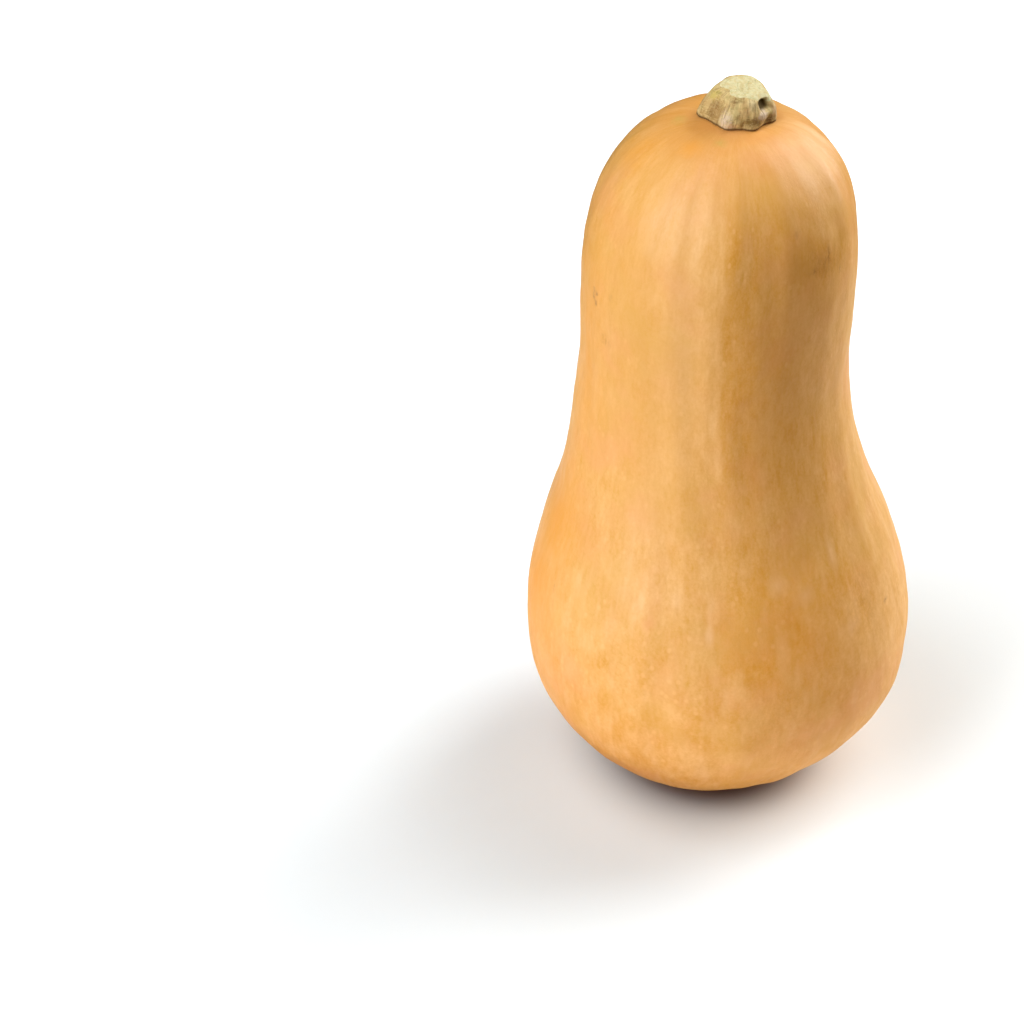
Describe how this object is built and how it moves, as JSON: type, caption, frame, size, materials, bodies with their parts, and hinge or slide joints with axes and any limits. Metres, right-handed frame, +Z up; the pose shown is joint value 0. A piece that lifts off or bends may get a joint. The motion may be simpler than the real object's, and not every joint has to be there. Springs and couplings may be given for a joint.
{
  "type": "butternut squash",
  "caption": "Whole ripe butternut squash standing on its blossom end, with a long neck, a round bulb, smooth tan skin and a short cut stem stub.",
  "frame": {"origin": "on the surface that the squash stands on, under the middle of its bulb", "axes": "+Z up along the squash from the blossom end to the stem, -Y towards the front, +X to the right seen from the front"},
  "size_m": [0.1143, 0.1125, 0.2287],
  "materials": {
    "skin": "smooth satin tan-orange rind with faint pale streaks, mottles and small corky scabs",
    "stem": "dry matt fibrous stem, olive-tan ridged sides and a pale cream cut face"
  },
  "bodies": {
    "root": {"fruit": "skin", "stem": "stem"}
  },
  "joints": []
}
